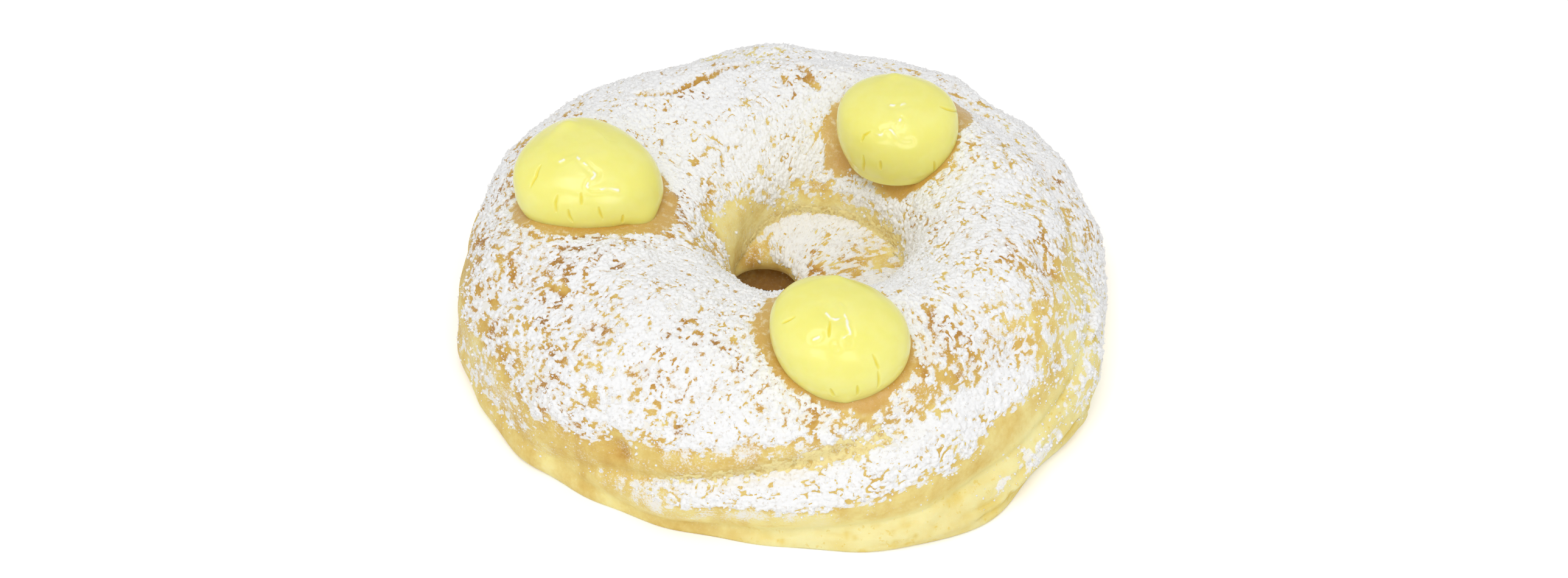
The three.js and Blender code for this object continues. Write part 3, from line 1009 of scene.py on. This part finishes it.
class PastryCrustSettings(bpy.types.PropertyGroup):
    """Sizes and colours of the baked crust."""

    turns: count_setting("Turns", "Points round the ring", 520, 48)
    faces: count_setting("Faces", "Points round the cut of the ring", 190, 24)
    dough: colour_setting("Dough", "Palest, least baked dough", (246, 238, 196))
    pale_crust: colour_setting("Pale Crust", "Lightly baked crust", (243, 228, 152))
    golden_crust: colour_setting("Golden Crust", "Golden crust", (225, 195, 109))
    deep_crust: colour_setting("Deep Crust", "Well-baked crust", (210, 170, 84))
    brown_crust: colour_setting("Brown Crust", "Browned spots", (190, 140, 60))
    # Painted shade: the darkest crust colour stands for the shade in the hollow deep in the hole
    hole_shade_crust: colour_setting("Dark Crust", "Dark crust deep in the hole", (166, 120, 60))
    sponge: colour_setting("Sponge", "Soft pale base", (240, 231, 168))
    sponge_pore: colour_setting("Sponge Pores", "Open bubbles of the soft base", (230, 204, 102))
    crumb: colour_setting("Crumb", "Torn crumb in the creases", (238, 222, 166))
    crumb_shade: colour_setting("Crumb Shade", "Pores of the torn crumb", (214, 182, 104))
    moist_crust: colour_setting("Moist Crust", "Bare crust beside the cream", (209, 171, 98))
    moist_sugar: colour_setting("Moist Sugar", "Sugar melted beside the cream", (230, 211, 172))
    moist_edge: colour_setting("Moist Edge", "Amber line along the cream", (204, 156, 70))
    dust: colour_setting("Dust", "Fine sugar dust on the crust", (242, 240, 234))


class PastryCrumbSettings(bpy.types.PropertyGroup):
    """Sizes and colours of the torn crumb."""

    turns: count_setting("Turns", "Points round the ring", 1300, 96)
    faces: count_setting("Faces", "Points round the cut of the ring", 380, 48)
    crumb: colour_setting("Crumb", "Torn crumb", (240, 224, 160))
    pore: colour_setting("Pores", "Crumb in its pores", (194, 152, 72))


class PastrySugarSettings(bpy.types.PropertyGroup):
    """Sizes and colours of the dusting of sugar."""

    turns: count_setting("Turns", "Points round the ring", 1500, 96)
    faces: count_setting("Faces", "Points round the cut of the ring", 400, 48)
    clump: length_setting("Clump", "Width of a clump", 0.42)
    grains: count_setting("Grains", "Loose grains on the crust", 8000, 0)
    grain_size: length_setting("Grain Size", "Width of a loose grain", 0.24)
    sugar: colour_setting("Sugar", "Sugar in the light", (245, 245, 245))
    # Painted shade: the sugar shade is laid in patches by noise
    sugar_shade: colour_setting("Sugar Shade", "Sugar between its clumps", (226, 221, 214))


class PastryCreamSettings(bpy.types.PropertyGroup):
    """Sizes and colours of the custard cream."""

    sides: count_setting("Sides", "Points round a dollop", 480, 24)
    rings: count_setting("Rings", "Points up a dollop", 200, 12)
    slit_width: length_setting("Slit Width", "Half width of a slit", 0.22)
    slit_depth: length_setting("Slit Depth", "Depth of a slit", 0.34)
    fold: length_setting("Fold", "Height of the fine folds", 0.12)
    cream: colour_setting("Cream", "Body of the cream", (243, 238, 131))
    cream_light: colour_setting("Light Cream", "Paler streaks", (245, 241, 144))
    cream_deep: colour_setting("Deep Cream", "Cream in the slits", (240, 224, 66))
    # Painted highlight: the near-white colour painted on the fine folds as glints
    cream_painted_glint: colour_setting("Cream Shine", "Fine folds that catch the light", (255, 253, 226))


class PastryStageSettings(bpy.types.PropertyGroup):
    """The camera, the lights and the floor."""

    elevation: number_setting("Elevation", "Camera above the horizon", np.radians(42.0), "ANGLE")
    distance: length_setting("Distance", "Camera to the ring", 480)
    lens: number_setting("Lens", "Focal length in millimetres", 65.25)
    aim_height: length_setting("Aim Height", "Height of the point aimed at", 15)
    floor: colour_setting("Floor", "The pale floor", (254, 254, 254))
    world: number_setting("Surrounding Light", "Strength of the even light", 0.62)
    overhead: number_setting("Overhead", "Overhead panel", 2.8, "POWER")
    fill: number_setting("Front", "Panel in front", 1.2, "POWER")
    mirrored: number_setting("Mirrored", "Each mirrored panel", 1.3, "POWER")
    spot: number_setting("Spot", "Small lamp above", 0.25, "POWER")


# Operators, one for each piece or group of pieces

class PASTRY_OT_crust(bpy.types.Operator):
    """Builds the baked crust of the ring over its solid"""

    bl_idname = "pastry.crust"
    bl_label = "Build Crust"

    def execute(self, context):
        looks = context.scene.pastry_crust
        turn, face = skin_grid(looks.turns, self.spaced(looks.faces))
        skin = crust_skin(turn, face)
        halo, close = dollop_halo(skin.points)
        cover = sugar_cover(turn, face, skin, halo)
        fields = {
            # The baked field is baking, with painted shade deep in the hole and under the sugar and painted
            # light on the upper wall of the hole
            "baked": self.browning_and_painted_light(turn, face, skin, cover),
            "crumb": skin.crumb,
            "sponge": skin.pale,
            "pores": skin.pores,
            "moist": halo,
            "amber": close * halo,
            "dust": self.dusted(turn, face, skin, cover, halo),
        }
        quads = grid_quads(looks.turns, looks.faces, True, True)
        points = skin.points.reshape(-1, 3)
        crust = make_piece("choux_crust", points, quads, crust_material(looks), fields)
        place_piece(crust, "choux_ring")
        return {"FINISHED"}

    def spaced(self, count):
        """Faces closer together on the outer wall and in the hole, wider under the sugar and below."""
        at = np.array([FACE_FIRST, -1.0, 1.0, 58.0, 66.0, 126.0, 134.0, 182.0, 184.0, FACE_LAST])
        closeness = np.array([1.2, 1.2, 1.5, 1.5, 0.7, 0.7, 1.2, 1.2, 0.3, 0.3])
        fine = np.linspace(FACE_FIRST, FACE_LAST, 4000)
        run = np.cumsum(np.interp(fine, at, closeness))
        return np.interp(np.linspace(run[0], run[-1], count), run, fine)

    def dusted(self, turn, face, skin, cover, halo):
        """Fine dust, 0 to 1: beside the clumps, thinly where only crust would show, and in drips."""
        rank = sugar_rank(skin.points)
        under_clumps = clumped(cover)
        dust = ease(2.0 * cover - under_clumps + 0.02, under_clumps, rank) * ease(0.0, 0.1, cover)
        dust = dust * ease(under_clumps - 0.4, under_clumps - 0.05, rank)
        veil = ease(-0.5, 0.4, soft_noise(skin.points, 2.6, 81)) * ease(0.0, 5.0, skin.points[..., 2])
        dust = dust + 0.24 * veil * (1.0 - front_right(turn) * ease(60, 40, face)) * (1.0 - halo)
        drips = 0.25 + 0.75 * ease(-0.5, 0.5, soft_noise(skin.points * (1.0, 1.0, 0.3), 1.5, 82))
        return np.clip(np.maximum(dust, drips * patches(turn, face, FILM_PATCHES)), 0, 1)

    def browning_and_painted_light(self, turn, face, skin, cover):
        """How brown the crust is, 0 to 1: by coil and in patches and more in the pits and cracks, with
        painted shade deep in the hole and under the sugar, and painted light on the upper wall of the hole.
        """
        baked = sum(share * COIL_BAKE_AND_SHADE[name] for name, share in zip(COIL_NAMES, skin.shares))
        baked = baked + layered(skin.points, (0.14, 9.0, 71), (0.1, 4.0, 72))
        baked = baked + 0.13 * soft_noise(skin.points * (1.0, 1.0, 0.25), 1.7, 73)
        baked = baked - 0.15 * skin.pale + 0.2 * soft_noise(skin.points, 2.2, 74) * ease(120, 140, face)
        # Painted shade deep in the hole, where little light gets in; on the left it is baked longer
        baked = baked + 0.16 * ease(160, 172, face)
        baked = baked + 0.14 * bell(turn_apart(turn, -80), 32) * ease(20, 40, face)
        baked = baked + 0.16 * ease(0.2, 1.0, skin.pits) + 0.18 * ease(0.1, 0.4, skin.cracks)
        # Painted shade: browner under the sugar, for the shade in its small gaps; paler at the foot
        baked = baked + 0.16 * ease(0.15, 0.6, cover) - 0.08 * ease(9.0, 0.0, skin.points[..., 2])
        # Painted light: the upper wall of the hole is paler, to make up for the shade in the hole
        baked = baked - 0.22 * skin.shares[COIL_NAMES.index("top")] * ease(124, 148, face)
        return np.clip(baked, 0, 1)


class PASTRY_OT_crumb(bpy.types.Operator):
    """Builds the torn crumb that shows in the creases of the ring"""

    bl_idname = "pastry.crumb"
    bl_label = "Build Torn Crumb"

    def execute(self, context):
        looks = context.scene.pastry_crumb
        turn, face = skin_grid(looks.turns, np.linspace(-4.0, 176.0, looks.faces))
        skin = crust_skin(turn, face)
        torn = skin.crumb - 0.5 + layered(skin.points, (0.16, 1.6, 91), (0.1, 0.8, 92))
        torn = np.where(skin.points[..., 2] > 0.8, torn, -1.0)
        open_crumb = torn > -0.1
        points = skin.points[open_crumb]
        # Bubbles lie open in groups
        bubbles = ease(0.44, 0.2, lump_gap(points, 2.0, 93))
        bubbles = bubbles + 0.9 * ease(0.44, 0.2, lump_gap(points, 1.1, 97))
        bubbles = bubbles * ease(-0.6, 0.0, soft_noise(points, 4.5, 99))
        threads = layered(points, (0.14, 1.0, 94), (0.08, 0.55, 95))
        rise = np.clip(torn[open_crumb] / 0.12, -1, 1)
        height = np.full(turn.shape, -0.4)
        height[open_crumb] = 0.1 * rise + np.where(rise > 0, threads - 0.8 * np.clip(bubbles, 0, 1), 0.0)
        pore = np.zeros(turn.shape)
        pore[open_crumb] = bubbles
        quads = grid_quads(looks.turns, looks.faces, True, False)
        used, faces = shown_part(quads, height.ravel()[quads].max(axis=1) > 0.0)
        points = (skin.points + skin.normals * height[..., None]).reshape(-1, 3)[used]
        fields = {"pore": np.clip(pore, 0, 1).ravel()[used]}
        piece = make_piece("torn_crumb", points, faces, crumb_material(looks), fields)
        place_piece(piece)
        return {"FINISHED"}


class PASTRY_OT_sugar(bpy.types.Operator):
    """Builds the clumpy coat of sugar and its loose grains"""

    bl_idname = "pastry.sugar"
    bl_label = "Build Sugar"

    def execute(self, context):
        looks = context.scene.pastry_sugar
        material = sugar_material(looks)
        turn, face = skin_grid(looks.turns, np.linspace(0.0, 180.0, looks.faces))
        skin = crust_skin(turn, face)
        cover = sugar_cover(turn, face, skin, dollop_halo(skin.points)[0])
        height = self.coat(skin, cover, looks.clump / MM)
        self.sectors(looks, skin, height, material)
        self.grains(looks, skin, cover, height, material)
        return {"FINISHED"}

    def coat(self, skin, cover, clump):
        """The coat's height: clumps of two sizes where the cover beats the noise, else below the crust."""
        dusted = cover > 0.004
        points = skin.points[dusted]
        normals = skin.normals[dusted]
        rank = sugar_rank(points)
        # A thin dusting lies as small clumps and fine dust, a thick one as large clumps
        share = clumped(cover[dusted])
        chance = ease(share + 0.12, share - 0.12, rank) * (0.6 + 0.4 * share)
        large = sugar_clumps(points, normals, chance * (0.3 + 0.7 * ease(0.15, 0.5, share)), clump, 111)
        small = sugar_clumps(points, normals, 0.9 * chance + 0.05 * share, 0.62 * clump, 121)
        rough = 0.06 * soft_noise(points, 0.5 * clump, 66)
        # Winding clefts between the clumps
        clefts = ease(0.14, 0.03, np.abs(soft_noise(points, 1.4, 67)))
        clefts = clefts * ease(-0.1, 0.35, soft_noise(points, 2.6, 68))
        finer_clefts = ease(0.16, 0.04, np.abs(soft_noise(points, 0.8, 69)))
        clefts = np.maximum(clefts, finer_clefts * ease(0.0, 0.4, soft_noise(points, 1.9, 70)))
        height = np.full(cover.shape, COAT_SUNK)
        height[dusted] = np.maximum(np.maximum(large, small) + rough - 0.42 * clefts, COAT_SUNK)
        # Each height is evened out a little with its four neighbours
        beside = np.roll(height, 1, axis=0) + np.roll(height, -1, axis=0)
        beside[:, 1:-1] += height[:, 2:] + height[:, :-2]
        beside[:, [0, -1]] += 2.0 * height[:, [0, -1]]
        return 0.6 * height + 0.1 * beside

    def sectors(self, looks, skin, height, material):
        """Six sectors of the coat, each with only the faces that show above the crust."""
        points = (skin.points + skin.normals * height[..., None]).reshape(-1, 3)
        quads = grid_quads(looks.turns, looks.faces, True, False)
        shown = height.ravel()[quads].max(axis=1) > 0.0
        count = len(SECTORS)
        half = looks.turns // (2 * count)
        sector = (quads[:, 0] // looks.faces + half) * count // looks.turns % count
        for index, side in enumerate(SECTORS):
            used, faces = shown_part(quads, shown & (sector == index))
            piece = make_piece(f"sugar_coat_{side}", points[used], faces, material)
            place_piece(piece)

    def grains(self, looks, skin, cover, height, material):
        """Loose grains: small uneven twenty-sided lumps, thickest at the ragged edges of the coat."""
        random = np.random.default_rng(GRAIN_SEED)
        edges = 4.0 * cover * (1.0 - cover) + 0.1 * cover + 0.012 * (skin.normals[..., 2] > 0.2)
        areas = np.linalg.norm(np.cross(*np.gradient(skin.points, axis=(0, 1))), axis=-1)
        chance = (edges * areas).ravel()
        picked = random.choice(chance.size, looks.grains, p=chance / chance.sum())
        golden = (1 + 5 ** 0.5) / 2
        corners = np.array(
            [
                (-1, golden, 0), (1, golden, 0), (-1, -golden, 0), (1, -golden, 0),
                (0, -1, golden), (0, 1, golden), (0, -1, -golden), (0, 1, -golden),
                (golden, 0, -1), (golden, 0, 1), (-golden, 0, -1), (-golden, 0, 1),
            ]
        ) / np.hypot(1, golden)
        sides = np.array(
            [
                (0, 11, 5), (0, 5, 1), (0, 1, 7), (0, 7, 10), (0, 10, 11),
                (1, 5, 9), (5, 11, 4), (11, 10, 2), (10, 7, 6), (7, 1, 8),
                (3, 9, 4), (3, 4, 2), (3, 2, 6), (3, 6, 8), (3, 8, 9),
                (4, 9, 5), (2, 4, 11), (6, 2, 10), (8, 6, 7), (9, 8, 1),
            ]
        )
        size = looks.grain_size / MM / 2 * np.exp(0.45 * random.standard_normal((looks.grains, 1, 1)))
        size = np.clip(size, 0.05, 0.35)
        uneven = 1.0 + 0.25 * random.standard_normal((looks.grains, len(corners), 1))
        lumps = corners[None] * size * np.clip(uneven, 0.5, 1.5)
        middles = skin.points.reshape(-1, 3)[picked]
        normals = skin.normals.reshape(-1, 3)[picked]
        rise = np.maximum(height.ravel()[picked], 0.0)[:, None] + 0.3 * size[:, 0]
        points = lumps + (middles + normals * rise)[:, None, :]
        faces = sides[None] + len(corners) * np.arange(looks.grains)[:, None, None]
        piece = make_piece("sugar_grains", points.reshape(-1, 3), faces.reshape(-1, 3), material)
        place_piece(piece)


class PASTRY_OT_cream(bpy.types.Operator):
    """Builds the glossy cream over each dollop"""

    bl_idname = "pastry.cream"
    bl_label = "Build Cream"

    def execute(self, context):
        looks = context.scene.pastry_cream
        material = cream_material(looks)
        for side, dollop in DOLLOPS.items():
            points, fields = self.shape(looks, dollop)
            piece = make_piece(f"cream_{side}", points, self.faces(looks), material, fields)
            place_piece(piece, f"cream_dollop_{side}")
        return {"FINISHED"}

    def body(self, dollop, angle, share):
        """Places on a dollop: a bulge below its widest place, a peaked dome above, lobed and leaned."""
        beneath = (dollop.widest - share) / (dollop.widest + dollop.undercut)
        below = np.sqrt(np.maximum(1 - beneath ** 2, 0))
        above = np.clip((share - dollop.widest) / (1 - dollop.widest), 0, 1)
        dome = np.sqrt(np.maximum(1 - above ** dollop.rounded, 0))
        peaked = (1 - DOLLOP_PEAKED) * dome + DOLLOP_PEAKED * (1 - above) ** 1.3
        width = np.where(share < dollop.widest, below, peaked)
        for count, amount, start in dollop.lobes:
            width = width + width * amount * np.cos(count * angle + start)
        x = dollop.x + dollop.half_x * width * np.cos(angle) + dollop.lean_x * share ** 2
        y = dollop.y + dollop.half_y * width * np.sin(angle) + dollop.lean_y * share ** 2
        return np.stack([x, y, dollop.foot + dollop.tall * share], axis=-1)

    def mark(self, dollop, places):
        """A mark's path over the cream, from its angles from the front and shares of the height."""
        front, share = finer(places)
        return self.body(dollop, np.radians(front - 90.0), share)

    def shape(self, looks, dollop):
        """The dollop's skin round its sides and up its height, with a tip, ridges, slits and folds."""
        angle = np.linspace(0, 2 * np.pi, looks.sides, endpoint=False)[:, None]
        # Rings crowd together at the top, where the dome turns over
        share = 1 - (1 - np.linspace(0, 1, looks.rings)[None, :]) ** 1.7
        points = self.body(dollop, *np.broadcast_arrays(angle, share))
        lift = layered(points, (0.12, 7.0, 81), (0.03, 2.4, 82))
        tip = (*dollop.tip[:2], TIP_WIDTH, dollop.tip[2])
        for front, at_share, radius, height in (tip, *dollop.bulges):
            place = self.mark(dollop, ((front, at_share), (front, at_share)))[0]
            lift = lift + height * bell(np.linalg.norm(points - place, axis=-1), radius)
        for places in dollop.ridges:
            gap, along = path_gap(points, self.mark(dollop, places))
            lift = lift + 0.2 * (1 - 0.7 * along) * bell(gap, RIDGE_WIDTH)
        # The folds are raised beads, and where they lie the cream is also painted with glints
        folds = np.zeros(points.shape[:-1])
        moved = wandered(points, 0.25, 2.2, 85)
        beads = ease(0.0, 0.5, soft_noise(points, 0.8, 84) + 0.15)
        for places in dollop.folds:
            gap, _ = path_gap(moved, self.mark(dollop, places))
            folds = np.maximum(folds, beads * bell(gap, FOLD_WIDTH))
            lift = lift - 0.1 * bell(gap - 0.5, 0.5)
        lift = lift + looks.fold / MM * folds
        slits = np.zeros(points.shape[:-1])
        for places in dollop.slits:
            gap, along = path_gap(points, self.mark(dollop, places))
            taper = np.sqrt(np.maximum(1 - (2 * along - 1) ** 2, 0))
            narrow = looks.slit_width / MM * (0.5 + 0.5 * taper)
            slits = np.maximum(slits, taper * bell(gap, narrow))
            lift = lift + 0.08 * taper * bell(gap, 3.5 * narrow)
        lift = lift - looks.slit_depth / MM * slits
        points = points + outward(points) * (lift * ease(-0.04, 0.06, share))[..., None]
        # The foot is let into the crust, so no gap shows under the cream
        points[..., 2] -= 0.5 * ease(0.1, 0.0, share)
        caps = np.array([points[:, 0].mean(axis=0), points[:, -1].mean(axis=0)])
        # The fold field says where the cream is painted with glints
        marks = {"slit": slits, "fold": folds}
        fields = {name: np.concatenate([values.ravel(), [0.0, 0.0]]) for name, values in marks.items()}
        return np.concatenate([points.reshape(-1, 3), caps]), fields

    def faces(self, looks):
        """Three-cornered faces up the sides, with both ends closed to a middle point."""
        quads = grid_quads(looks.sides, looks.rings, True, False)
        start = np.arange(looks.sides) * looks.rings
        following = np.roll(start, -1)
        foot = np.full(looks.sides, looks.sides * looks.rings)
        last = looks.rings - 1
        low = np.stack([following, start, foot], axis=-1)
        high = np.stack([start + last, following + last, foot + 1], axis=-1)
        return np.concatenate([quads[:, [0, 1, 2]], quads[:, [0, 2, 3]], low, high])


class PASTRY_OT_stage(bpy.types.Operator):
    """Sets up the pale floor, the soft light and the camera"""

    bl_idname = "pastry.stage"
    bl_label = "Build Stage"

    def execute(self, context):
        looks = context.scene.pastry_stage
        self.floor(looks)
        self.lights(context, looks)
        self.camera(context, looks)
        return {"FINISHED"}

    def floor(self, looks):
        """A wide flat floor just under the part, which glows a little to the camera only."""
        material, make, shader, place = new_material("pale floor")
        cloudy = make.spread(make.noise(place, 180.0), 0.3, 0.7)
        shade = tuple(0.985 * part for part in looks.floor)
        rough = make.spread(cloudy, 0.0, 1.0, 0.6, 0.7)
        make.set(shader, Base_Color=make.mix(cloudy, looks.floor, shade), Roughness=rough)
        seen = make.add("LightPath").outputs["Is Camera Ray"]
        glow = make.mix(seen, (0.0, 0.0, 0.0), (1.0, 1.0, 1.0))
        make.set(shader, Specular_IOR_Level=0.1, Emission_Color=glow, Emission_Strength=0.2)
        side = np.linspace(-3000.0, 3000.0, 25)
        x, y = np.meshgrid(side, side, indexing="ij")
        points = np.stack([x, y, np.full_like(x, -0.15)], axis=-1).reshape(-1, 3)
        floor = make_piece("pale_floor", points, grid_quads(25, 25, False, False), material)

    def panel(self, name, place, size, power, lights_matt, mirrored):
        """A soft panel light that faces the ring, which may light matt surfaces, be mirrored or both."""
        data = bpy.data.lights.new(name, "AREA")
        data.shape = "RECTANGLE"
        data.size, data.size_y = size
        data.energy = power
        light = bpy.data.objects.new(name, data)
        light.location = place
        back = np.array(place) - np.array(LIGHT_AIM)
        level = np.hypot(back[0], back[1])
        light.rotation_euler = (np.arctan2(level, back[2]), 0.0, np.arctan2(back[0], -back[1]))
        light.visible_diffuse = lights_matt
        light.visible_glossy = mirrored
        bpy.context.scene.collection.objects.link(light)

    def lights(self, context, looks):
        """An even white surround, panels above and in front, and ones that are only mirrored."""
        world = bpy.data.worlds.new("studio surround")
        world.use_nodes = True
        background = world.node_tree.nodes["Background"]
        background.inputs["Color"].default_value = (1.0, 1.0, 1.0, 1.0)
        background.inputs["Strength"].default_value = looks.world
        context.scene.world = world
        tall = (0.32, 0.46)
        self.panel("overhead_panel", (-0.05, -0.38, 0.85), (0.5, 0.5), looks.overhead, True, True)
        self.panel("front_panel", (0.0, -0.75, 0.62), (0.6, 0.4), looks.fill, True, False)
        self.panel("mirrored_left_panel", (-0.27, -0.8, 0.26), tall, looks.mirrored, False, True)
        self.panel("mirrored_right_panel", (0.29, -0.78, 0.26), tall, looks.mirrored, False, True)
        self.panel("small_lamp", (0.0, -0.05, 1.0), (0.05, 0.05), looks.spot, False, True)
        context.scene.view_settings.view_transform = "Standard"

    def camera(self, context, looks):
        """A camera in front and above, turned a little so that the ring stands high in the frame."""
        lower = np.radians(0.595)
        right = np.radians(0.049)
        data = bpy.data.cameras.new("front_camera")
        data.lens = looks.lens
        data.sensor_width = 36.0
        data.clip_start = 0.01
        data.clip_end = 20.0
        camera = bpy.data.objects.new("front_camera", data)
        aim = MIDDLE * MM + np.array([0.0, 0.0, looks.aim_height])
        back = np.array([0.0, -np.cos(looks.elevation), np.sin(looks.elevation)])
        camera.location = aim + back * looks.distance
        camera.rotation_euler = (np.pi / 2 - looks.elevation - lower, 0.0, -right)
        context.scene.collection.objects.link(camera)
        context.scene.camera = camera


class PASTRY_PT_panel(bpy.types.Panel):
    """Lists the pastry's pieces and their settings"""

    bl_idname = "PASTRY_PT_panel"
    bl_label = "Choux Ring"
    bl_space_type = "VIEW_3D"
    bl_region_type = "UI"
    bl_category = "Pastry"

    def draw(self, context):
        for operator, group in PIECES:
            box = self.layout.box()
            box.operator(operator.bl_idname)
            settings = getattr(context.scene, group)
            for name in settings.__annotations__:
                box.prop(settings, name)


SETTINGS = {
    "pastry_crust": PastryCrustSettings,
    "pastry_crumb": PastryCrumbSettings,
    "pastry_sugar": PastrySugarSettings,
    "pastry_cream": PastryCreamSettings,
    "pastry_stage": PastryStageSettings,
}
PIECES = (
    (PASTRY_OT_crust, "pastry_crust"),
    (PASTRY_OT_crumb, "pastry_crumb"),
    (PASTRY_OT_sugar, "pastry_sugar"),
    (PASTRY_OT_cream, "pastry_cream"),
    (PASTRY_OT_stage, "pastry_stage"),
)
CLASSES = (*SETTINGS.values(), *(operator for operator, group in PIECES), PASTRY_PT_panel)


def register():
    """Registers every class and hangs the settings on the scene."""
    for kind in CLASSES:
        bpy.utils.register_class(kind)
    for name, kind in SETTINGS.items():
        setattr(bpy.types.Scene, name, bpy.props.PointerProperty(type=kind))


def unregister():
    """Takes the settings off the scene and unregisters every class."""
    for name in SETTINGS:
        delattr(bpy.types.Scene, name)
    for kind in reversed(CLASSES):
        bpy.utils.unregister_class(kind)


def main():
    """Registers the add-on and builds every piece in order."""
    register()
    bpy.ops.pastry.crust()
    bpy.ops.pastry.crumb()
    bpy.ops.pastry.sugar()
    bpy.ops.pastry.cream()
    bpy.ops.pastry.stage()


if __name__ == "__main__":
    main()
